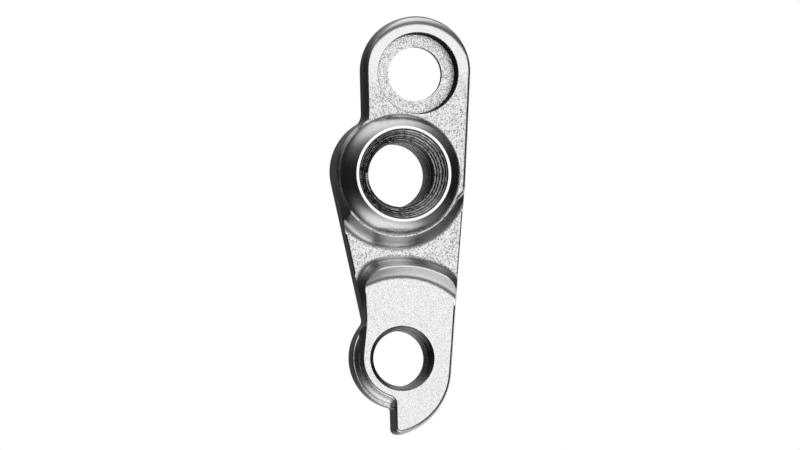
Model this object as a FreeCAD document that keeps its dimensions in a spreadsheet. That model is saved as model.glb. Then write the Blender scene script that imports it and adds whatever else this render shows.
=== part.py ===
import FreeCAD, Part
import math
import os

# Rear derailleur hanger, forged and machined from one piece of aluminium.
# Frame: the origin lies on the axle thread's axis, in the plane of the seat that
# bears on the bicycle frame. +Z is up, +X is to the right seen from outside the
# bicycle, and the outer side, where the axle boss stands out, looks towards -Y.
# All lengths are in millimetres and all angles in degrees.

SIZES = [
    # Levels across the thickness, measured outwards from the frame seat
    ("boss_height", 9.0),
    ("plate_thickness", 4.5),
    ("plate_parting", 2.2),
    ("crest_height", 4.6),
    ("face_height", 2.8),
    ("floor_height", 0.3),
    ("inner_depth", 4.0),
    # Axle boss and its thread, M12 x 1.5 left plain at the minor diameter
    ("axle_bore_radius", 5.19),
    ("boss_ring_radius", 7.75),
    ("boss_ring_width", 0.42),
    ("countersink_depth", 3.9),
    ("dome_radius", 9.87),
    ("dome_wall", 1.0),
    ("dome_bulge", 0.46),
    ("base_x", -1.2),
    ("base_z", 0.76),
    ("base_radius", 8.96),
    ("boss_radius", 10.1),
    ("boss_wall_angle", 16.0),
    ("boss_cove_radius", 1.5),
    # Upper plate with the hole for the frame bolt
    ("bolt_hole_x", 3.54),
    ("bolt_hole_z", 16.42),
    ("bolt_hole_radius", 4.4),
    ("bolt_recess_radius", 6.6),
    ("bolt_floor_radius", 6.4),
    ("bolt_recess_depth", 3.1),
    ("top_lobe_x", 3.6),
    ("top_lobe_z", 16.85),
    ("top_lobe_radius", 8.94),
    ("waist_radius", 2.75),
    ("roll_shift_x", -0.1),
    ("roll_shift_z", -1.2),
    ("roll_inset", 0.44),
    ("roll_radius", 1.5),
    ("plate_end_x", 11.1),
    ("plate_end_z", -3.05),
    ("plate_toe_x", 9.0),
    ("plate_toe_z", -5.25),
    # Neck and lower lobe with the derailleur thread, M10 x 1 left plain
    ("derailleur_drop", 29.7),
    ("thread_bore_radius", 4.5),
    ("thread_chamfer_radius", 5.3),
    ("thread_chamfer_depth", 1.4),
    ("back_chamfer", 0.5),
    ("lobe_radius", 8.38),
    ("lobe_x", 0.55),
    ("lobe_rise", 0.13),
    ("notch_x", -5.8),
    ("notch_z", -22.2),
    ("neck_top_x", 11.33),
    ("neck_right_x", 9.82),
    ("neck_right_z", -17.3),
    ("tail_radius", 11.1),
    ("tail_x", -2.68),
    ("tail_z", -31.27),
    ("tang_x", -1.25),
    # Raised face round the derailleur thread, and the ridge above it
    ("draft_angle", 12.0),
    ("face_rim_radius", 6.5),
    ("face_left_x", -5.75),
    ("face_bend_z", -22.8),
    ("crest_radius", 14.8),
    ("recess_wall_angle", 38.0),
    ("recess_cove_radius", 1.5),
    ("ridge_cove_radius", 1.4),
    ("ridge_corner_radius", 4.0),
    ("crest_land", 0.2),
    # Rounding of the outline and of the edges
    ("notch_fillet", 1.4),
    ("tang_fillet", 0.6),
    ("tip_fillet", 1.0),
    ("rim_tip_fillet", 1.3),
    ("plate_fillet", 0.4),
    ("rim_chamfer", 0.35),
    ("ledge_fillet", 0.25),
    ("rim_fillet", 0.4),
]

doc = FreeCAD.newDocument("derailleur_hanger")
sheet = doc.addObject("Spreadsheet::Sheet", "Sizes")
for row, (name, value) in enumerate(SIZES, start=1):
    sheet.set(f"A{row}", name)
    sheet.set(f"B{row}", str(value))
    sheet.setAlias(f"B{row}", name)
doc.recompute()


def size(name):
    return float(sheet.get(name))


body = doc.addObject("PartDesign::Body", "Hanger")
body.Label = "hanger"


def origin_plane(role):
    return [item for item in body.Origin.OriginFeatures if item.Role == role][0]


# Plan geometry: points of a plan are (x, z), seen from outside

def point(x, z):
    return FreeCAD.Vector(x, z, 0)


def line(start, end):
    return Part.LineSegment(start, end)


def arc(centre, radius, start, end):
    """Counterclockwise arc from the direction of start to that of end."""
    first = math.atan2(start.y - centre.y, start.x - centre.x)
    last = math.atan2(end.y - centre.y, end.x - centre.x)
    if last <= first:
        last += 2 * math.pi
    return Part.ArcOfCircle(Part.Circle(centre, FreeCAD.Vector(0, 0, 1), radius), first, last)


def toward(centre, radius, target):
    """Point at a radius from the centre, in the direction of the target."""
    return centre + (target - centre).normalize() * radius


def tangent_point(centre, radius, outside, side):
    """Touch point on a circle of the tangent through an outside point.

    side is +1 for the touch point counterclockwise of the outside point, -1 for
    the one clockwise of it.
    """
    reach = outside - centre
    heading = math.atan2(reach.y, reach.x) + side * math.acos(radius / reach.Length)
    return centre + point(radius * math.cos(heading), radius * math.sin(heading))


def at_z(start, end, z):
    """Point of the line through two points at the given z."""
    return start + (end - start) * ((z - start.y) / (end.y - start.y))


def left_of(start, end, distance):
    """Offset to the left hand of someone who walks from start to end."""
    along = (end - start).normalize()
    return point(-along.y, along.x) * distance


def meets_circle(start, end, centre, radius, side):
    """Point where the line through start and end enters (-1) or leaves (+1) a circle."""
    along = (end - start).normalize()
    nearest = (centre - start).dot(along)
    gap = (start + along * nearest - centre).Length
    return start + along * (nearest + side * math.sqrt(radius ** 2 - gap ** 2))


def corner(start, end, offset, centre, radius, side):
    """Centre of an arc that touches a line and a circle.

    offset is the way from the line to the arc's centre, and radius the distance
    of that centre from the circle's centre.
    """
    return meets_circle(start + offset, end + offset, centre, radius, side)


# Sketches and features

def front_sketch(name, height, edges):
    """Sketch in plan at a height above the frame seat."""
    sketch = body.newObject("Sketcher::SketchObject", name)
    sketch.AttachmentSupport = [(origin_plane("XZ_Plane"), "")]
    sketch.MapMode = "FlatFace"
    sketch.setExpression("AttachmentOffset.Base.z", height)
    sketch.addGeometry(edges, False)
    doc.recompute()
    return sketch


def section_sketch(name, x, z, corners, arcs=None):
    """Half section of (radius, height) corners beside an axis across the plate.

    x and z are the sheet's expressions for the axis. arcs gives, for the number
    of an edge, a point that its arc passes through.
    """
    sketch = body.newObject("Sketcher::SketchObject", name)
    sketch.AttachmentSupport = [(origin_plane("XY_Plane"), "")]
    sketch.MapMode = "FlatFace"
    sketch.setExpression("AttachmentOffset.Base.x", x)
    sketch.setExpression("AttachmentOffset.Base.z", z)
    spots = [FreeCAD.Vector(radius, -height, 0) for radius, height in corners]
    for number, spot in enumerate(spots):
        following = spots[(number + 1) % len(spots)]
        if arcs and number in arcs:
            radius, height = arcs[number]
            edge = Part.Arc(spot, FreeCAD.Vector(radius, -height, 0), following)
        else:
            edge = Part.LineSegment(spot, following)
        sketch.addGeometry(edge, False)
    doc.recompute()
    return sketch


def pad(name, sketch, length, taper=None, inwards=False):
    feature = body.newObject("PartDesign::Pad", name)
    feature.Profile = sketch
    feature.setExpression("Length", length)
    feature.Reversed = inwards
    if taper:
        feature.setExpression("TaperAngle", taper)
    doc.recompute()
    return feature


def turn(kind, name, sketch, angle=360, upwards=False):
    """Revolution or Groove about the sketch's axis, from +x down or upwards."""
    feature = body.newObject(kind, name)
    feature.Profile = sketch
    feature.ReferenceAxis = (sketch, ["V_Axis"])
    feature.Angle = angle
    feature.Reversed = upwards
    doc.recompute()
    return feature


def cut_through(name, sketch):
    feature = body.newObject("PartDesign::Pocket", name)
    feature.Profile = sketch
    feature.Type = "ThroughAll"
    feature.Midplane = True
    doc.recompute()
    return feature


def cut_outwards(name, sketch, length, taper):
    feature = body.newObject("PartDesign::Pocket", name)
    feature.Profile = sketch
    feature.setExpression("Length", length)
    feature.setExpression("TaperAngle", taper)
    feature.Reversed = True
    doc.recompute()
    return feature


def chosen_edges(chosen):
    """Names of the edges whose middle, as a plan point and a height, is chosen."""
    names = []
    for number, edge in enumerate(body.Tip.Shape.Edges, start=1):
        middle = edge.valueAt((edge.FirstParameter + edge.LastParameter) / 2)
        if chosen(point(middle.x, middle.z), -middle.y):
            names.append(f"Edge{number}")
    return names


def rounded(name, radius, chosen):
    """Fillet on the edges of the form so far that are chosen."""
    edges = chosen_edges(chosen)
    feature = body.newObject("PartDesign::Fillet", name)
    feature.Base = (feature.BaseFeature, edges)
    feature.setExpression("Radius", radius)
    doc.recompute()
    return feature


def bevelled(name, width, chosen):
    """Chamfer on the edges of the form so far that are chosen."""
    edges = chosen_edges(chosen)
    feature = body.newObject("PartDesign::Chamfer", name)
    feature.Base = (feature.BaseFeature, edges)
    feature.setExpression("Size", width)
    doc.recompute()
    return feature


def level(height, name):
    return abs(height - size(name)) < 0.001


def flank(radius, height, foot, angle, cove, side):
    """Section of a leaning wall with a cove at its foot.

    It gives the cove's start on the wall, a point on the cove, and its end on the
    foot's level. side is +1 where the foot lies at the larger radius.
    """
    lean = math.radians(angle)
    wall = (height - foot - cove * (1 - math.sin(lean))) / math.cos(lean)
    reach = radius + side * (wall * math.sin(lean) + cove * math.cos(lean))

    def spot(turned):
        return (reach - side * cove * math.cos(turned), foot + cove - cove * math.sin(turned))

    return spot(lean), spot((lean + math.pi / 2) / 2), spot(math.pi / 2)


AXLE = point(0, 0)
DERAILLEUR = point(0, -size("derailleur_drop"))
FAR = 30.0
DEEP = 1.0

# Outline of the neck and lower lobe

base = point(size("base_x"), size("base_z"))
lobe = DERAILLEUR + point(size("lobe_x"), size("lobe_rise"))
tail = point(size("tail_x"), size("tail_z"))
plate_end = point(size("plate_end_x"), size("plate_end_z"))
neck_top = point(size("neck_top_x"), size("plate_end_z"))
neck_right = point(size("neck_right_x"), size("neck_right_z"))
notch = point(size("notch_x"), size("notch_z"))
neck_left = tangent_point(base, size("base_radius"), notch, -1)
tail_top = tangent_point(tail, size("tail_radius"), neck_right, -1)
base_right = tangent_point(base, size("base_radius"), neck_top, 1)


def tang_side(x, ring, ring_radius, foot_fillet, tip_fillet):
    """Left side of the tang at x: touch points and centres of its two fillets."""
    top = point(x, 0)
    bottom = point(x, -FAR)
    foot = corner(top, bottom, point(-foot_fillet, 0), ring, ring_radius + foot_fillet, 1)
    tip = corner(top, bottom, point(tip_fillet, 0), tail, size("tail_radius") - tip_fillet, 1)
    return foot, tip


outward = left_of(notch, neck_left, size("notch_fillet"))
notch_centre = corner(neck_left, notch, outward, lobe,
                      size("lobe_radius") + size("notch_fillet"), -1)
notch_top = notch_centre - outward
notch_foot = toward(lobe, size("lobe_radius"), notch_centre)
tang_foot, tang_tip = tang_side(size("tang_x"), lobe, size("lobe_radius"),
                                size("tang_fillet"), size("tip_fillet"))
lobe_foot = toward(lobe, size("lobe_radius"), tang_foot)
tail_start = tail + (tang_tip - tail).normalize() * size("tail_radius")

lower_left = [
    arc(notch_centre, size("notch_fillet"), notch_foot, notch_top),
    arc(lobe, size("lobe_radius"), notch_foot, lobe_foot),
    arc(tang_foot, size("tang_fillet"), point(size("tang_x"), tang_foot.y), lobe_foot),
    line(point(size("tang_x"), tang_foot.y), point(size("tang_x"), tang_tip.y)),
    arc(tang_tip, size("tip_fillet"), point(size("tang_x"), tang_tip.y), tail_start),
]
lower_right = [
    arc(tail, size("tail_radius"), tail_start, tail_top),
    line(tail_top, neck_right),
]

# Neck and lower lobe behind the ledge

neck_outline = [
    line(neck_left, notch_top),
    *lower_left,
    *lower_right,
    line(neck_right, neck_top),
    line(neck_top, base_right),
    arc(base, size("base_radius"), base_right, neck_left),
]
neck_sketch = front_sketch("NeckOutline", "-Sizes.inner_depth", neck_outline)
pad("Neck", neck_sketch, "Sizes.inner_depth + Sizes.floor_height")
bevelled("BackRim", "Sizes.rim_chamfer", lambda spot, height: level(-height, "inner_depth"))
rounded("LedgeRim", "Sizes.ledge_fillet", lambda spot, height: level(height, "floor_height"))

# Upper plate, square behind the parting line and drafted in front of it

top_lobe = point(size("top_lobe_x"), size("top_lobe_z"))
top_right = tangent_point(top_lobe, size("top_lobe_radius"), plate_end, 1)
top_left = top_lobe - point(size("top_lobe_radius"), 0)
waist = corner(top_left, top_left - point(0, FAR), point(-size("waist_radius"), 0), base,
               size("base_radius") + size("waist_radius"), -1)
waist_top = waist + point(size("waist_radius"), 0)
waist_foot = toward(base, size("base_radius"), waist)
plate_toe = point(size("plate_toe_x"), size("plate_toe_z"))
plate_outline = [
    line(plate_end, top_right),
    arc(top_lobe, size("top_lobe_radius"), top_right, top_left),
    line(top_left, waist_top),
    arc(waist, size("waist_radius"), waist_foot, waist_top),
    line(waist_foot, AXLE),
    line(AXLE, plate_toe),
    line(plate_toe, plate_end),
]
pad("PlateBack", front_sketch("PlateBackOutline", "0", plate_outline), "Sizes.plate_parting")
pad("PlateFront", front_sketch("PlateFrontOutline", "Sizes.plate_parting", plate_outline),
    "Sizes.plate_thickness - Sizes.plate_parting", "-Sizes.draft_angle")
rounded("PlateRim", "Sizes.plate_fillet",
        lambda spot, height: level(height, "plate_thickness")
        and (spot - base).Length > size("base_radius"))

# Its top rolls off towards the rim, about an axis beside the lobe's

roll = top_lobe + point(size("roll_shift_x"), size("roll_shift_z"))
roll_start = size("top_lobe_radius") - size("roll_inset")
roll_end = roll_start + size("roll_radius")
roll_foot = size("plate_thickness") - size("roll_radius")
half_way = size("roll_radius") * math.sqrt(0.5)
roll_sketch = section_sketch(
    "RollSection", "Sizes.top_lobe_x + Sizes.roll_shift_x",
    "Sizes.top_lobe_z + Sizes.roll_shift_z",
    [
        (roll_start, size("plate_thickness")), (roll_end, roll_foot),
        (roll_end + DEEP, roll_foot), (roll_end + DEEP, size("plate_thickness") + DEEP),
        (roll_start, size("plate_thickness") + DEEP),
    ],
    {0: (roll_start + half_way, roll_foot + half_way)})
turn("PartDesign::Groove", "RollOff", roll_sketch, 180, upwards=True)

# Plan of the raised lobe in front of the ledge, with the ridge as its upper end

draft = math.tan(math.radians(size("draft_angle")))
rim_offset = (size("face_height") - size("floor_height")) * draft
rim_radius = size("face_rim_radius") + rim_offset
rim_left = size("face_left_x") - rim_offset
tang_left = size("tang_x") - rim_offset
ridge_rise = size("crest_height") - size("floor_height")
ridge_foot = size("crest_radius") + size("crest_land") + draft * ridge_rise
ridge_inner = ridge_foot - size("ridge_corner_radius")
bend = point(rim_left, size("face_bend_z"))
left_corner = corner(bend, bend + point(0, DEEP), point(size("ridge_corner_radius"), 0),
                     DERAILLEUR, ridge_inner, 1)
left_corner_low = point(rim_left, left_corner.y)
left_corner_top = toward(DERAILLEUR, ridge_foot, left_corner)
inward = left_of(tail_top, neck_right, size("ridge_corner_radius"))
right_corner = corner(tail_top, neck_right, inward, DERAILLEUR, ridge_inner, 1)
right_corner_low = right_corner - inward
right_corner_top = toward(DERAILLEUR, ridge_foot, right_corner)
rim_foot, rim_tip = tang_side(tang_left, DERAILLEUR, rim_radius,
                              size("tang_fillet"), size("rim_tip_fillet"))
rim_start = tangent_point(DERAILLEUR, rim_radius, bend, 1)
rim_end = toward(DERAILLEUR, rim_radius, rim_foot)
rim_tail = tail + (rim_tip - tail).normalize() * size("tail_radius")
ridge_line = [
    line(bend, left_corner_low),
    arc(left_corner, size("ridge_corner_radius"), left_corner_top, left_corner_low),
    arc(DERAILLEUR, ridge_foot, right_corner_top, left_corner_top),
    arc(right_corner, size("ridge_corner_radius"), right_corner_low, right_corner_top),
    line(right_corner_low, tail_top),
]

# Raised face round the derailleur thread, with its rim rounded before the ridge is added

inner_wall, inner_mid, inner_foot = flank(
    size("crest_radius"), size("crest_height"), size("face_height"),
    size("recess_wall_angle"), size("recess_cove_radius"), -1)
floor = "Sizes.floor_height"
face_reach = (inner_foot[0] + size("crest_radius")) / 2
face_left = meets_circle(bend, left_corner_low, DERAILLEUR, face_reach, 1)
face_right = meets_circle(tail_top, neck_right, DERAILLEUR, face_reach, 1)
rim_line = [
    line(bend, rim_start),
    arc(DERAILLEUR, rim_radius, rim_start, rim_end),
    arc(rim_foot, size("tang_fillet"), point(tang_left, rim_foot.y), rim_end),
    line(point(tang_left, rim_foot.y), point(tang_left, rim_tip.y)),
    arc(rim_tip, size("rim_tip_fillet"), point(tang_left, rim_tip.y), rim_tail),
    arc(tail, size("tail_radius"), rim_tail, tail_top),
]
raised_sketch = front_sketch("RaisedOutline", floor, ridge_line + rim_line)
pad("RaisedFoot", raised_sketch, "2 * Sizes.ledge_fillet", inwards=True)
face_outline = rim_line + [
    line(bend, face_left),
    arc(DERAILLEUR, face_reach, face_right, face_left),
    line(face_right, tail_top),
]
pad("Face", front_sketch("FaceOutline", floor, face_outline),
    "Sizes.face_height - Sizes.floor_height", "-Sizes.draft_angle")
rounded("FaceRim", "Sizes.rim_fillet",
        lambda spot, height: level(height, "face_height") and spot.y < plate_toe.y)

# Cove swept along the ridge's foot

lean = math.radians(size("draft_angle"))
cove = size("ridge_cove_radius")
cove_rise = cove * (1 - math.sin(lean))
cove_run = cove * math.cos(lean) - cove_rise * math.tan(lean)


def cove_spot(turned):
    x = rim_left - cove_run + cove * math.cos(turned)
    return (x, size("floor_height") + cove - cove * math.sin(turned))


cove_section = section_sketch(
    "RidgeCoveSection", "0", "Sizes.face_bend_z",
    [
        cove_spot(math.pi / 2), cove_spot(lean), (rim_left + cove, cove_spot(lean)[1]),
        (rim_left + cove, size("floor_height") - DEEP),
        (cove_spot(math.pi / 2)[0], size("floor_height") - DEEP),
    ],
    {0: cove_spot((lean + math.pi / 2) / 2)})
ridge_path = front_sketch("RidgePath", "Sizes.floor_height", ridge_line)
ridge_cove = body.newObject("PartDesign::AdditivePipe", "RidgeCove")
ridge_cove.Profile = cove_section
ridge_cove.Spine = ridge_path
doc.recompute()

# Flank of the boss towards the neck, with its cove

boss_wall, boss_mid, boss_foot = flank(
    size("boss_radius"), size("plate_thickness"), size("floor_height"),
    size("boss_wall_angle"), size("boss_cove_radius"), 1)
flank_inside = size("dome_radius") - DEEP
flank_sketch = section_sketch(
    "BossFlankSection", "0", "0",
    [
        (flank_inside, size("plate_thickness")), (size("boss_radius"), size("plate_thickness")),
        boss_wall, boss_foot, (boss_foot[0], size("floor_height") - DEEP),
        (flank_inside, size("floor_height") - DEEP),
    ],
    {2: boss_mid})
flank_start = -math.degrees(math.atan2(neck_top.y, neck_top.x))
flank_sweep = -math.degrees(math.atan2(neck_left.y, neck_left.x)) - flank_start
flank_sketch.AttachmentOffset = FreeCAD.Placement(
    FreeCAD.Vector(), FreeCAD.Rotation(FreeCAD.Vector(0, 1, 0), flank_start))
turn("PartDesign::Revolution", "BossFlank", flank_sketch, flank_sweep)

# Both forms trimmed to the neck's drafted sides

neck_low = at_z(neck_left, notch, size("face_bend_z"))
flank_trim = [
    line(neck_left, neck_low),
    line(neck_low, point(-FAR, neck_low.y)),
    line(point(-FAR, neck_low.y), point(-FAR, neck_left.y)),
    line(point(-FAR, neck_left.y), neck_left),
]
flank_trim_right = [
    line(tail_top, neck_right),
    line(neck_right, neck_top),
    line(neck_top, point(FAR, neck_top.y)),
    line(point(FAR, neck_top.y), point(FAR, tail_top.y)),
    line(point(FAR, tail_top.y), tail_top),
]
cut_outwards("LeftTrim", front_sketch("LeftTrimOutline", floor, flank_trim),
             "Sizes.plate_thickness", "Sizes.draft_angle")
cut_outwards("RightTrim", front_sketch("RightTrimOutline", floor, flank_trim_right),
             "Sizes.plate_thickness", "Sizes.draft_angle")

# Ridge above the face

ridge_reach = inner_foot[0] - DEEP
ridge_left = meets_circle(bend, left_corner_low, DERAILLEUR, ridge_reach, 1)
ridge_right = meets_circle(tail_top, neck_right, DERAILLEUR, ridge_reach, 1)
ridge_outline = [
    line(ridge_left, left_corner_low),
    *ridge_line[1:4],
    line(right_corner_low, ridge_right),
    arc(DERAILLEUR, ridge_reach, ridge_right, ridge_left),
]
pad("Ridge", front_sketch("RidgeOutline", floor, ridge_outline),
    "Sizes.crest_height - Sizes.floor_height", "-Sizes.draft_angle")

# Both sides cut square to the neck's outline through the full thickness

side_trim = [
    line(neck_left, notch_top),
    *lower_left,
    *lower_right,
    line(neck_right, neck_top),
    line(neck_top, point(FAR, neck_top.y)),
    line(point(FAR, neck_top.y), point(FAR, -2 * FAR)),
    line(point(FAR, -2 * FAR), point(-FAR, -2 * FAR)),
    line(point(-FAR, -2 * FAR), point(-FAR, neck_left.y)),
    line(point(-FAR, neck_left.y), neck_left),
]
cut_through("SideTrim", front_sketch("SideTrimOutline", "0", side_trim))

# Turned recess that leaves the ridge standing above the derailleur's seat

above = size("crest_height") + DEEP
recess_sketch = section_sketch(
    "RecessSection", "0", "-Sizes.derailleur_drop",
    [
        (0, size("face_height")), inner_foot, inner_wall,
        (size("crest_radius"), size("crest_height")), (size("crest_radius"), above), (0, above),
    ],
    {1: inner_mid})
turn("PartDesign::Groove", "Recess", recess_sketch)

# Round base of the boss up to the plate's face, and the boss with its domed end

base_circle = [Part.Circle(base, FreeCAD.Vector(0, 0, 1), size("base_radius"))]
pad("BossBase", front_sketch("BossBaseOutline", "0", base_circle), "Sizes.plate_thickness")

dome_foot = FreeCAD.Vector(size("dome_radius"), size("plate_thickness") + size("dome_wall"), 0)
dome_rim = FreeCAD.Vector(size("boss_ring_radius"), size("boss_height"), 0)
dome_mid = (dome_foot + dome_rim) / 2 + left_of(dome_rim, dome_foot, size("dome_bulge"))
boss_sketch = section_sketch(
    "BossSection", "0", "0",
    [
        (0, size("floor_height")), (size("dome_radius"), size("floor_height")),
        (dome_foot.x, dome_foot.y), (dome_rim.x, dome_rim.y), (0, size("boss_height")),
    ],
    {2: (dome_mid.x, dome_mid.y)})
turn("PartDesign::Revolution", "Boss", boss_sketch)

# Axle hole: a flat ring, a countersink, and the bore at the thread's minor diameter

seat = -size("inner_depth")
bore = size("axle_bore_radius")
axle_section = section_sketch(
    "AxleHoleSection", "0", "0",
    [
        (0, size("boss_height") + DEEP), (size("boss_ring_radius") - size("boss_ring_width"),
                                          size("boss_height") + DEEP),
        (size("boss_ring_radius") - size("boss_ring_width"), size("boss_height")),
        (bore, size("boss_height") - size("countersink_depth")),
        (bore, seat + size("back_chamfer")), (bore + size("back_chamfer"), seat),
        (bore + size("back_chamfer"), seat - DEEP), (0, seat - DEEP),
    ])
turn("PartDesign::Groove", "AxleHole", axle_section)

# Derailleur hole: a chamfer and the bore at the thread's minor diameter

bore = size("thread_bore_radius")
mouth = size("thread_chamfer_radius")
thread_section = section_sketch(
    "DerailleurHoleSection", "0", "-Sizes.derailleur_drop",
    [
        (0, size("face_height") + DEEP), (mouth, size("face_height") + DEEP),
        (mouth, size("face_height")), (bore, size("face_height") - size("thread_chamfer_depth")),
        (bore, seat + size("back_chamfer")), (bore + size("back_chamfer"), seat),
        (bore + size("back_chamfer"), seat - DEEP), (0, seat - DEEP),
    ])
turn("PartDesign::Groove", "DerailleurHole", thread_section)

# Frame bolt hole: a recess for the bolt's head, and the hole through the plate

recess_floor = size("plate_thickness") - size("bolt_recess_depth")
bolt_section = section_sketch(
    "BoltHoleSection", "Sizes.bolt_hole_x", "Sizes.bolt_hole_z",
    [
        (0, size("plate_thickness") + DEEP),
        (size("bolt_recess_radius"), size("plate_thickness") + DEEP),
        (size("bolt_recess_radius"), size("plate_thickness")),
        (size("bolt_floor_radius"), recess_floor), (size("bolt_hole_radius"), recess_floor),
        (size("bolt_hole_radius"), -DEEP), (0, -DEEP),
    ])
turn("PartDesign::Groove", "BoltHole", bolt_section)

# Validity, then the file

for item in doc.Objects:
    if "Invalid" in item.State or "Error" in item.State:
        raise RuntimeError(f"{item.Name} did not compute: {item.State}")
if body.Shape.isNull() or not body.Shape.isValid():
    raise RuntimeError(f"{body.Label} has no valid shape")

os.makedirs("parts", exist_ok=True)
body.Shape.exportStep(f"parts/{body.Label}.step")
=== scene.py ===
import math

import bmesh
import bpy
from mathutils import Matrix, Vector


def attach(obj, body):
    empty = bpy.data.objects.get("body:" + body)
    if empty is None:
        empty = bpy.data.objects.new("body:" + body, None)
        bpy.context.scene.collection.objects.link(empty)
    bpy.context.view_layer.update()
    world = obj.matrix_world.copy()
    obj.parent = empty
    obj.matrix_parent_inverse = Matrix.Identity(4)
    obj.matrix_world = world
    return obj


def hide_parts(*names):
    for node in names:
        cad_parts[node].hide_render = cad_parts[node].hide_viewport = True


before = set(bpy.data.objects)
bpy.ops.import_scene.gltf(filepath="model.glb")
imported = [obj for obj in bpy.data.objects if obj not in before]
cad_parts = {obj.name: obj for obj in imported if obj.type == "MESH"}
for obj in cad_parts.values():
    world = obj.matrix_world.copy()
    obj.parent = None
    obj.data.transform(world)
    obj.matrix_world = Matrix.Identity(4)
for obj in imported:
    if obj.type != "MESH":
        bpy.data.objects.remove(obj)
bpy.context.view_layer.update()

# The dressed derailleur hanger: the CAD solid with its real threads and turning
# marks cut into it, and a finish for each kind of surface. Lengths are in metres.
# Heights are measured outwards from the frame seat.

MM = 0.001
CENTRE = {
    "axle": Vector((0, 0, 0)),
    "derailleur": Vector((0, 0, -29.7 * MM)),
    "bolt": Vector((3.54 * MM, 0, 16.42 * MM)),
}
BOSS_HEIGHT = 9.0 * MM
PLATE_HEIGHT = 4.5 * MM
FACE_HEIGHT = 2.8 * MM
SUNK_HEIGHT = 0.3 * MM
BACK = -4.0 * MM
COUNTERSINK_DEPTH = 3.9 * MM
COUNTERSINK_RADIUS = 7.33 * MM
DERAILLEUR_MOUTH = 5.3 * MM
MOUTH_DEPTH = 1.4 * MM
RECESS_RADIUS = 6.6 * MM
RIM_BREAK = 0.07 * MM

# Threads, with how far a tap's tooth starts inside the bore's wall and how far the
# axle thread runs out into the countersink
AXLE_THREAD = {"minor": 5.19 * MM, "major": 6.0 * MM, "pitch": 1.5 * MM}
DERAILLEUR_THREAD = {"minor": 4.5 * MM, "major": 5.0 * MM, "pitch": 1.0 * MM}
THREAD_FLANK = math.radians(30)
THREAD_CREST = 1 / 16
TAP_CLEARANCE = 0.25 * MM
THREAD_RUNOUT = 1.0 * MM

# Cove at the ledge beside the lower lobe's raised face; angles in degrees
LEDGE_EDGE = 7.60 * MM
LEDGE_INSIDE = 6.4 * MM
COVE_RADIUS = 1.383 * MM
COVE_LEAN = (25, 78)
COVE_PARTS = 6
COVE_SUNK = 0.01 * MM
COVE_START = 144
COVE_END = 260

# Left edge of the raised face: z, x at its foot, x of its wall
FACE_EDGE = [
    (-18.6 * MM, -6.05 * MM, -5.80 * MM),
    (-19.6 * MM, -6.05 * MM, -5.82 * MM),
    (-20.3 * MM, -6.02 * MM, -5.80 * MM),
    (-21.0 * MM, -5.94 * MM, -5.78 * MM),
    (-21.8 * MM, -5.84 * MM, -5.76 * MM),
    (-22.6 * MM, -5.72 * MM, -5.74 * MM),
    (-23.2 * MM, -5.66 * MM, -5.74 * MM),
    (-23.7 * MM, -5.64 * MM, -5.74 * MM),
]
FACE_ROUNDING = [(0, 0.32 * MM), (0.03 * MM, 0.2 * MM), (0.07 * MM, 0.09 * MM),
                 (0.12 * MM, 0.02 * MM), (0.17 * MM, 0.001 * MM)]
FACE_INSIDE = -4.6 * MM
FACE_DRAFT = 0.1 * MM
FACE_MIDDLE = 1.4 * MM

# Rounded edge of the plate at the left of the dome: radius and drop, and the angles
# in degrees at which it starts, is full and ends
BASE_EDGE = [(9.875 * MM, 0), (10.1 * MM, 0.25 * MM), (10.35 * MM, 0.75 * MM),
             (10.6 * MM, 1.4 * MM)]
BASE_START = 122
BASE_FULL = 138
BASE_END = 196

# Turning marks: start, end and depth of each scallop, as shares of the countersink's
# depth and in metres, the part of that depth left plain at the rim, the step between
# two scallops, and how far and in what waves round the bore the tool chattered
MARKS = [
    (0.03, 0.19, 0.08 * MM),
    (0.19, 0.36, 0.10 * MM),
    (0.36, 0.50, 0.07 * MM),
    (0.50, 0.70, 0.12 * MM),
    (0.70, 0.84, 0.08 * MM),
    (0.84, 0.98, 0.09 * MM),
]
MARK_PARTS = 5
MARK_FLOOR = 0.01 * MM
MARK_RIM = 0.12 * MM
MARK_STEP = 0.01 * MM
CHATTER = 0.012 * MM
CHATTER_WAVES = (29, 5)

# How finely the cutters are divided, and how far they reach past a surface
TURN_STEPS = 144
ARC_STEP = 2
OVERREACH = 0.1 * MM


# Cutters and fillers

def new_object(name, vertices, faces):
    mesh = bpy.data.meshes.new(name)
    mesh.from_pydata(vertices, [], faces)
    mesh.update()
    thing = bpy.data.objects.new(name, mesh)
    bpy.context.scene.collection.objects.link(thing)
    return thing


def around(centre, radius, height, angle):
    """Point beside an axis across the plate; height is measured outwards."""
    return centre + Vector((radius * math.cos(angle), -height, radius * math.sin(angle)))


def loft(name, sections):
    """Closed solid through sections that all have the same number of points."""
    size = len(sections[0])
    vertices = [spot for section in sections for spot in section]
    faces = []
    for first in range(0, size * (len(sections) - 1), size):
        for side in range(size):
            following = (side + 1) % size
            faces.append((first + side, first + following,
                          first + size + following, first + size + side))
    faces.append(tuple(reversed(range(size))))
    faces.append(tuple(range(len(vertices) - size, len(vertices))))
    return new_object(name, vertices, faces)


def section_at(centre, profile, degrees):
    """A profile of (radius, height) points turned to an angle round a centre."""
    angle = math.radians(degrees)
    return [around(centre, radius, height, angle) for radius, height in profile]


def thread_tap(name, centre, thread, low, high):
    """Helical tooth of a tap, right-handed, from the height low to high."""
    pitch = thread["pitch"]
    outer = thread["major"]
    inner = thread["minor"] - TAP_CLEARANCE
    crest = pitch * THREAD_CREST
    base = crest + (outer - inner) * math.tan(THREAD_FLANK)
    section = [(inner, -base), (inner, base), (outer, crest), (outer, -crest)]
    turns = (high - low) / pitch
    sections = []
    for step in range(round(turns * TURN_STEPS) + 1):
        angle = 2 * math.pi * step / TURN_STEPS
        centre_height = low + pitch * step / TURN_STEPS
        sections.append([around(centre, radius, centre_height + offset, angle)
                         for radius, offset in section])
    return loft(name, sections)


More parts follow.
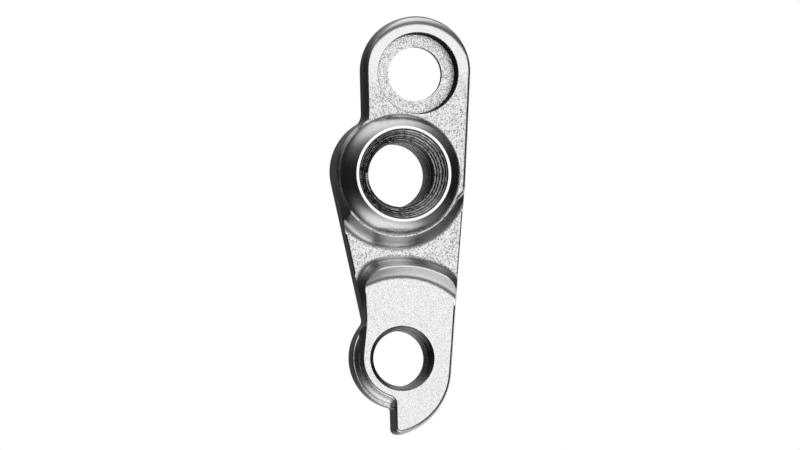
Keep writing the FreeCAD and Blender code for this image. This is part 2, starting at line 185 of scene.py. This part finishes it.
def lathe(name, centre, profile, chatter=0):
    """Closed solid turned from (radius, height) points that start and end on the axis."""
    vertices = [around(centre, 0, profile[0][1], 0), around(centre, 0, profile[-1][1], 0)]
    rings = profile[1:-1]
    quick, slow = CHATTER_WAVES
    for ring, (radius, height) in enumerate(rings):
        for step in range(TURN_STEPS):
            angle = 2 * math.pi * step / TURN_STEPS
            waver = chatter * math.sin(quick * angle + ring) * math.sin(slow * angle + 2 * ring)
            vertices.append(around(centre, radius + waver, height, angle))
    faces = []
    last = 2 + (len(rings) - 1) * TURN_STEPS
    for step in range(TURN_STEPS):
        following = (step + 1) % TURN_STEPS
        faces.append((0, 2 + step, 2 + following))
        faces.append((1, last + following, last + step))
        for ring in range(len(rings) - 1):
            low = 2 + ring * TURN_STEPS
            high = low + TURN_STEPS
            faces.append((low + step, high + step, high + following, low + following))
    return new_object(name, vertices, faces)


def turning_marks():
    """Scalloped rings that a coarse feed left in the countersink."""
    slope = (COUNTERSINK_RADIUS - AXLE_THREAD["minor"]) / COUNTERSINK_DEPTH
    low = BOSS_HEIGHT - COUNTERSINK_DEPTH
    span = COUNTERSINK_DEPTH - MARK_RIM
    profile = [(0, low + MARKS[0][0] * span)]
    for start, end, depth in MARKS:
        for part in range(MARK_PARTS + 1):
            along = part / MARK_PARTS
            height = low + (start + (end - start) * along) * span
            wall = AXLE_THREAD["minor"] + (height - low) * slope
            profile.append((wall + MARK_FLOOR + depth * 4 * along * (1 - along), height))
        profile[-1] = (profile[-1][0], height - MARK_STEP)
    profile.append((0, profile[-1][1]))
    return lathe("turning_marks", CENTRE["axle"], profile, CHATTER)


def rim_break():
    """Broken edge round the frame bolt's recess."""
    low = PLATE_HEIGHT - RIM_BREAK
    high = PLATE_HEIGHT + RIM_BREAK
    return lathe("rim_break", CENTRE["bolt"], [
        (0, low), (RECESS_RADIUS, low), (RECESS_RADIUS + 2 * RIM_BREAK, high), (0, high)])


def base_edge():
    """Rounding of the plate's edge at the left of the dome."""
    top = PLATE_HEIGHT + OVERREACH
    sections = []
    for degrees in range(BASE_START, BASE_END + 1, ARC_STEP):
        share = min(1, (degrees - BASE_START) / (BASE_FULL - BASE_START))
        profile = [(radius, PLATE_HEIGHT - drop * share) for radius, drop in BASE_EDGE]
        profile += [(BASE_EDGE[-1][0], top), (BASE_EDGE[0][0], top)]
        sections.append(section_at(CENTRE["axle"], profile, degrees))
    return loft("base_edge", sections)


def ledge_cove():
    """Small cove between the ledge and the raised face's wall."""
    first, last = (math.radians(degrees) for degrees in COVE_LEAN)
    middle = LEDGE_EDGE + COVE_RADIUS * math.sin(first)
    level = SUNK_HEIGHT - COVE_SUNK + COVE_RADIUS * math.cos(first)
    profile = []
    for part in range(COVE_PARTS + 1):
        lean = first + (last - first) * part / COVE_PARTS
        profile.append((middle - COVE_RADIUS * math.sin(lean),
                        level - COVE_RADIUS * math.cos(lean)))
    profile += [(LEDGE_INSIDE, profile[-1][1]), (LEDGE_INSIDE, 0), (LEDGE_EDGE, 0)]
    return loft("ledge_cove", [section_at(CENTRE["derailleur"], profile, degrees)
                               for degrees in range(COVE_START, COVE_END + 1, ARC_STEP)])


def face_edge():
    """Even left edge of the raised face, from the ridge down to the lobe."""
    low = SUNK_HEIGHT - OVERREACH
    sections = []
    for z, foot, wall in FACE_EDGE:
        section = [(foot, low), (wall - FACE_DRAFT, FACE_MIDDLE)]
        for inwards, drop in FACE_ROUNDING:
            section.append((wall + inwards, FACE_HEIGHT - drop))
        section += [(FACE_INSIDE, section[-1][1]), (FACE_INSIDE, low)]
        sections.append([Vector((x, -height, z)) for x, height in section])
    return loft("face_edge", sections)


def outward(thing):
    """Face normals pointing out of the solid."""
    work = bmesh.new()
    work.from_mesh(thing.data)
    bmesh.ops.recalc_face_normals(work, faces=work.faces)
    work.to_mesh(thing.data)
    work.free()


def apply_modifiers(thing):
    graph = bpy.context.evaluated_depsgraph_get()
    mesh = bpy.data.meshes.new_from_object(thing.evaluated_get(graph))
    thing.modifiers.clear()
    old = thing.data
    thing.data = mesh
    bpy.data.meshes.remove(old)


def combine(thing, tool, operation="DIFFERENCE"):
    """Cut the tool from the thing, or add it, and drop the tool."""
    outward(tool)
    modifier = thing.modifiers.new(tool.name, "BOOLEAN")
    modifier.operation = operation
    modifier.solver = "MANIFOLD"
    modifier.object = tool
    apply_modifiers(thing)
    bpy.data.objects.remove(tool)


# Materials

# Share of a direction that faces straight out: where the forging's grain begins and
# is full
FLAT_RANGE = (0.90, 0.992)
# Noise at which a speck is darkest and at which it ends
SPECK_RANGE = (0.34, 0.54)
# Relief that stays on steep forms, and relief as a share of the grain's size
STEEP_RELIEF = 0.12
GRAIN_RELIEF = 0.35
# Where the upper plate's grain fades: z, how far it fades, and depth inside the plate
RIM_RANGE = (12 * MM, 19 * MM)
RIM_FADE = 0.9
RIM_DEPTH = (-3.6 * MM, -3.2 * MM)
# Satin: roughness at the noise's ends, strength of the relief, its share of the grain
SATIN_RANGE = (0.8, 1.25)
SATIN_BUMP = 0.12
SATIN_RELIEF = 0.2
# Turned rings: wave scale for a feed of one, their wavering, relief as a share of feed
RING_SCALE = 0.05
RING_WAVER = 1.2
RING_RELIEF = 0.3


def node(tree, kind, **inputs):
    made = tree.nodes.new(kind)
    for name, value in inputs.items():
        made.inputs[name.replace("_", " ")].default_value = value
    return made


def metal(name, shade, roughness):
    """Bare aluminium with object coordinates at hand."""
    material = bpy.data.materials.new(name)
    material.use_nodes = True
    tree = material.node_tree
    shader = tree.nodes["Principled BSDF"]
    shader.inputs["Metallic"].default_value = 1.0
    shader.inputs["Base Color"].default_value = (shade, shade, shade, 1)
    shader.inputs["Roughness"].default_value = roughness
    place = tree.nodes.new("ShaderNodeTexCoord").outputs["Object"]
    return material, tree, shader, place


def bump(tree, shader, height, strength, depth):
    """Fine relief on a surface."""
    relief = node(tree, "ShaderNodeBump", Strength=strength, Distance=depth)
    tree.links.new(height, relief.inputs["Height"])
    tree.links.new(relief.outputs["Normal"], shader.inputs["Normal"])


def math_node(tree, operation, first, second):
    made = tree.nodes.new("ShaderNodeMath")
    made.operation = operation
    for socket, value in zip(made.inputs, (first, second)):
        if isinstance(value, (int, float)):
            socket.default_value = value
        else:
            tree.links.new(value, socket)
    return made.outputs[0]


def spread(tree, value, low, high, to_low, to_high, smooth=True):
    """Map a value from one range to another, held at its ends."""
    made = node(tree, "ShaderNodeMapRange", From_Min=low, From_Max=high,
                To_Min=to_low, To_Max=to_high)
    made.interpolation_type = "SMOOTHSTEP" if smooth else "LINEAR"
    tree.links.new(value, made.inputs["Value"])
    return made.outputs["Result"]


def parts_of(tree, vector):
    """X, Y and Z of a vector."""
    parts = tree.nodes.new("ShaderNodeSeparateXYZ")
    tree.links.new(vector, parts.inputs[0])
    return parts.outputs


def facing_flat(tree):
    """1 where the surface looks straight out or in, 0 where it leans or is steep."""
    normal = tree.nodes.new("ShaderNodeTexCoord").outputs["Normal"]
    share = math_node(tree, "ABSOLUTE", parts_of(tree, normal)["Y"], 0)
    return spread(tree, share, *FLAT_RANGE, 0, 1)


def worn_rim(tree, place):
    """Up to 1 on the upper plate's rim, which the die left smooth."""
    parts = parts_of(tree, place)
    high = spread(tree, parts["Z"], *RIM_RANGE, 0, RIM_FADE)
    outside = spread(tree, parts["Y"], *RIM_DEPTH, 1, 0)
    return math_node(tree, "MULTIPLY", high, outside)


def forged(name, shade, smooth, rough, grain, dark, strength):
    """Forged skin: satin on steep and rounded forms, bead-blasted grain on the flats."""
    material, tree, shader, place = metal(name, shade, smooth)
    flat = facing_flat(tree)
    noise = node(tree, "ShaderNodeTexNoise", Scale=1 / grain, Detail=2.0, Roughness=0.55)
    tree.links.new(place, noise.inputs["Vector"])
    specks = spread(tree, noise.outputs["Fac"], *SPECK_RANGE, 0, 1)
    pits = math_node(tree, "SUBTRACT", 1, specks)
    unworn = math_node(tree, "SUBTRACT", 1, worn_rim(tree, place))
    grainy = math_node(tree, "MULTIPLY", flat, unworn)
    depth = math_node(tree, "MULTIPLY", pits, grainy)
    tint = tree.nodes.new("ShaderNodeMix")
    tint.data_type = "RGBA"
    tint.inputs[6].default_value = (0, 0, 0, 1)
    tint.inputs[7].default_value = (shade, shade, shade, 1)
    tree.links.new(spread(tree, depth, 0, 1, 1, dark, smooth=False), tint.inputs[0])
    tree.links.new(tint.outputs[2], shader.inputs["Base Color"])
    tree.links.new(spread(tree, flat, 0, 1, smooth, rough, smooth=False),
                   shader.inputs["Roughness"])
    height = math_node(tree, "MULTIPLY", noise.outputs["Fac"],
                       spread(tree, grainy, 0, 1, STEEP_RELIEF, 1, smooth=False))
    bump(tree, shader, height, strength, grain * GRAIN_RELIEF)
    return material


def satin(name, shade, roughness, grain):
    """Smooth forged surface with a faint unevenness."""
    material, tree, shader, place = metal(name, shade, roughness)
    noise = node(tree, "ShaderNodeTexNoise", Scale=1 / grain, Detail=4.0, Roughness=0.6)
    tree.links.new(place, noise.inputs["Vector"])
    low, high = SATIN_RANGE
    tree.links.new(spread(tree, noise.outputs["Fac"], 0, 1, roughness * low, roughness * high),
                   shader.inputs["Roughness"])
    bump(tree, shader, noise.outputs["Fac"], SATIN_BUMP, grain * SATIN_RELIEF)
    return material


def turned(name, shade, roughness, centre, feed, strength):
    """Lathe-turned surface: fine rings round a hole's axis."""
    material, tree, shader, place = metal(name, shade, roughness)
    shift = node(tree, "ShaderNodeMapping", Location=-centre)
    tree.links.new(place, shift.inputs["Vector"])
    rings = node(tree, "ShaderNodeTexWave", Scale=RING_SCALE / feed, Distortion=RING_WAVER,
                 Detail=2.0)
    rings.wave_type = "RINGS"
    rings.rings_direction = "Y"
    tree.links.new(shift.outputs["Vector"], rings.inputs["Vector"])
    bump(tree, shader, rings.outputs["Fac"], strength, feed * RING_RELIEF)
    return material


# Forged: shade, roughness on steep forms and on flats, grain, shade left in a pit and
# strength of the relief. Satin: shade, roughness and grain. Turned: shade, roughness,
# axis, feed and strength of the relief.
FINISHES = {
    "coarse": forged("aluminium_coarse", 0.93, 0.34, 0.28, 0.21 * MM, 0.34, 0.5),
    "fine": forged("aluminium_fine", 0.94, 0.34, 0.26, 0.12 * MM, 0.55, 0.25),
    "smooth": satin("aluminium_satin", 0.80, 0.26, 0.6 * MM),
    "side": satin("aluminium_side", 0.72, 0.42, 0.3 * MM),
    "ring": turned("aluminium_turned", 0.95, 0.22, CENTRE["axle"], 0.08 * MM, 0.2),
    # Recess: its near-black shade is painted shade, standing in for the shade on the wall
    # inside the frame bolt's recess.
    "recess": satin("aluminium_recess_painted_shade", 0.05, 0.70, 0.2 * MM),
    # Marks and thread: darker than the turned rim as painted shade, the countersink's marks a
    # little and the bores' threads much, standing in for the shade and dark reflections down
    # the holes.
    "marks": satin("aluminium_marks_painted_shade", 0.70, 0.13, 0.2 * MM),
    "thread": satin("aluminium_thread_painted_shade", 0.38, 0.24, 0.3 * MM),
}
FINISH_ORDER = list(FINISHES)

# How a face's place and direction are sorted: slack in a length, share of a direction
# that counts as level and as a wall, and where the raised face lies
NEAR = 0.02 * MM
LEVEL = 0.95
WALL = 0.05
RAISED_HEIGHT = FACE_HEIGHT - 0.5 * MM
RAISED_TOP = -15 * MM


def distance(point, centre):
    return math.hypot(point.x - centre.x, point.z - centre.z)


def finish_of(point, normal):
    """The finish of a face from its place and direction."""
    height = -point.y
    facing = -normal.y
    level = abs(facing) >= LEVEL
    # The countersink and the axle bore take the darker finishes of painted shade.
    if distance(point, CENTRE["axle"]) < COUNTERSINK_RADIUS + NEAR:
        if height > BOSS_HEIGHT - COUNTERSINK_DEPTH:
            return "ring" if facing > LEVEL and height > BOSS_HEIGHT - NEAR else "marks"
        if facing > -LEVEL:
            return "thread"
    if height > BOSS_HEIGHT - NEAR:
        return "ring"
    if height > PLATE_HEIGHT + NEAR:
        return "smooth"
    # The derailleur hole's mouth and bore take the same darker finishes of painted shade.
    if distance(point, CENTRE["derailleur"]) < DERAILLEUR_MOUTH + NEAR and not level:
        return "marks" if height > FACE_HEIGHT - MOUTH_DEPTH else "thread"
    # The wall of the bolt's recess takes the near-black finish of painted shade.
    if distance(point, CENTRE["bolt"]) < RECESS_RADIUS + 2 * RIM_BREAK and not level:
        return "recess"
    if abs(facing) < WALL:
        return "side"
    if height > RAISED_HEIGHT and point.z < RAISED_TOP or facing < -LEVEL:
        return "fine"
    return "coarse"


def dress(thing):
    mesh = thing.data
    mesh.materials.clear()
    for finish in FINISH_ORDER:
        mesh.materials.append(FINISHES[finish])
    for face in mesh.polygons:
        face.material_index = FINISH_ORDER.index(finish_of(face.center, face.normal))
        face.use_smooth = True


# The hanger

SHARP_ANGLE = math.radians(28)
MERGE_DISTANCE = 1e-7


def build_hanger():
    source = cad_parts["hanger"]
    mesh = source.data.copy()
    hanger = bpy.data.objects.new("hanger_dressed", mesh)
    bpy.context.scene.collection.objects.link(hanger)
    for name in ("custom_normal", "sharp_edge", "sharp_face"):
        if name in mesh.attributes:
            mesh.attributes.remove(mesh.attributes[name])
    work = bmesh.new()
    work.from_mesh(mesh)
    bmesh.ops.remove_doubles(work, verts=work.verts, dist=MERGE_DISTANCE)
    work.to_mesh(mesh)
    work.free()
    combine(hanger, turning_marks())
    combine(hanger, thread_tap("axle_tap", CENTRE["axle"], AXLE_THREAD,
                               BACK - AXLE_THREAD["pitch"],
                               BOSS_HEIGHT - COUNTERSINK_DEPTH + THREAD_RUNOUT))
    combine(hanger, thread_tap("derailleur_tap", CENTRE["derailleur"], DERAILLEUR_THREAD,
                               BACK - DERAILLEUR_THREAD["pitch"],
                               FACE_HEIGHT + DERAILLEUR_THREAD["pitch"]))
    combine(hanger, rim_break())
    combine(hanger, base_edge())
    combine(hanger, ledge_cove(), "UNION")
    combine(hanger, face_edge(), "UNION")
    dress(hanger)
    hanger.data.set_sharp_from_angle(angle=SHARP_ANGLE)
    weighted = hanger.modifiers.new("even_shading", "WEIGHTED_NORMAL")
    weighted.keep_sharp = True
    apply_modifiers(hanger)
    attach(hanger, "root")
    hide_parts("hanger")
    return hanger


hanger = build_hanger()


# Stage: pale floor, white world, and a grey light tent with soft windows that only
# reflections see

TENT_MIDDLE = Vector((0, 0, -8.4 * MM))
TENT_RADIUS = 0.4
# Each window: azimuth and elevation of its middle, half angles at which it begins
# and ends to fade, and its brightness, where 1 is white
WINDOWS = [
    (7, 0, 16, 30, 1.12),
    (-159, 80, 6, 54, 0.92),
    (-125, -79, 6, 50, 1.05),
    (162, -8, 18, 26, 0.8),
    (-172, 0, 8, 18, 0.09),
]
# The tent's own brightness at its waist and at its top and bottom, and how far up or
# down, as a share of the radius, it starts and ends to change
TENT_SHADE = 0.012
TENT_CAP_SHADE = 0.20
TENT_CAP_RANGE = (0.25, 1.0)
FLOOR_LEVEL = -90 * MM
FLOOR_REACH = 1.5
PAPER_SHADE = 0.9
PAPER_ROUGHNESS = 0.9


def direction(azimuth, elevation):
    """Way from the object towards these angles; azimuth 0 is the outer side."""
    turn = math.radians(azimuth)
    rise = math.radians(elevation)
    return Vector((math.sin(turn) * math.cos(rise),
                   -math.cos(turn) * math.cos(rise), math.sin(rise)))


def white_world():
    world = bpy.data.worlds.new("studio")
    bpy.context.scene.world = world
    world.use_nodes = True
    tree = world.node_tree
    tree.nodes.clear()
    room = node(tree, "ShaderNodeBackground", Color=(1, 1, 1, 1), Strength=1.0)
    output = tree.nodes.new("ShaderNodeOutputWorld")
    tree.links.new(room.outputs[0], output.inputs["Surface"])


def tent_material():
    material = bpy.data.materials.new("tent_cloth")
    material.use_nodes = True
    tree = material.node_tree
    tree.nodes.clear()
    place = tree.nodes.new("ShaderNodeTexCoord").outputs["Object"]
    unit = tree.nodes.new("ShaderNodeVectorMath")
    unit.operation = "NORMALIZE"
    tree.links.new(place, unit.inputs[0])
    height = math_node(tree, "ABSOLUTE", parts_of(tree, unit.outputs[0])["Z"], 0)
    light = spread(tree, height, *TENT_CAP_RANGE, TENT_SHADE, TENT_CAP_SHADE)
    for azimuth, elevation, full, end, brightness in WINDOWS:
        aligned = tree.nodes.new("ShaderNodeVectorMath")
        aligned.operation = "DOT_PRODUCT"
        aligned.inputs[1].default_value = direction(azimuth, elevation)
        tree.links.new(unit.outputs[0], aligned.inputs[0])
        glow = spread(tree, aligned.outputs["Value"], math.cos(math.radians(end)),
                      math.cos(math.radians(full)), 0, brightness)
        light = math_node(tree, "MAXIMUM", light, glow)
    emission = tree.nodes.new("ShaderNodeEmission")
    tree.links.new(light, emission.inputs["Strength"])
    output = tree.nodes.new("ShaderNodeOutputMaterial")
    tree.links.new(emission.outputs[0], output.inputs["Surface"])
    return material


def build_tent():
    work = bmesh.new()
    bmesh.ops.create_icosphere(work, subdivisions=4, radius=TENT_RADIUS)
    mesh = bpy.data.meshes.new("light_tent")
    work.to_mesh(mesh)
    work.free()
    tent = bpy.data.objects.new("light_tent", mesh)
    bpy.context.scene.collection.objects.link(tent)
    tent.matrix_world = Matrix.Translation(TENT_MIDDLE)
    mesh.materials.append(tent_material())
    tent.visible_camera = False
    tent.visible_diffuse = False
    tent.visible_transmission = False
    tent.visible_shadow = False


def build_floor():
    corners = [(-1, -1), (1, -1), (1, 1), (-1, 1)]
    floor = new_object("floor", [(x * FLOOR_REACH, y * FLOOR_REACH, FLOOR_LEVEL)
                                 for x, y in corners], [(0, 1, 2, 3)])
    material = bpy.data.materials.new("floor_paper")
    material.use_nodes = True
    paper = material.node_tree.nodes["Principled BSDF"]
    paper.inputs["Base Color"].default_value = (PAPER_SHADE, PAPER_SHADE, PAPER_SHADE, 1)
    paper.inputs["Roughness"].default_value = PAPER_ROUGHNESS
    floor.data.materials.append(material)
    floor.visible_glossy = False


white_world()
build_tent()
build_floor()


# Camera: the photograph's long lens, a little to the left and below. Angles are in
# degrees, the distance in metres, and the point it looks at in millimetres.

CAMERA_AZIMUTH = -9.5
CAMERA_ELEVATION = -1.7
CAMERA_LEAN = 1.5
CAMERA_DISTANCE = 1.3
CAMERA_CLIP = (0.01, 20)
PIXELS_PER_MM = 6.2
PICTURE_WIDTH = 800
SENSOR_WIDTH = 36.0
AIM = Vector((-0.858, -9.0, -8.271)) * MM


def build_camera():
    lens = bpy.data.cameras.new("camera")
    camera = bpy.data.objects.new("camera", lens)
    bpy.context.scene.collection.objects.link(camera)
    bpy.context.scene.camera = camera
    back = direction(CAMERA_AZIMUTH, CAMERA_ELEVATION)
    right = Vector((0, 0, 1)).cross(back).normalized()
    up = back.cross(right)
    lean = math.radians(CAMERA_LEAN)
    across = right * math.cos(lean) - up * math.sin(lean)
    upright = right * math.sin(lean) + up * math.cos(lean)
    turn = Matrix((across, upright, back)).transposed()
    camera.matrix_world = Matrix.Translation(AIM + back * CAMERA_DISTANCE) @ turn.to_4x4()
    lens.sensor_width = SENSOR_WIDTH
    lens.lens = SENSOR_WIDTH * CAMERA_DISTANCE * PIXELS_PER_MM / (PICTURE_WIDTH * MM)
    lens.clip_start, lens.clip_end = CAMERA_CLIP


build_camera()
bpy.context.scene.view_settings.view_transform = "Standard"
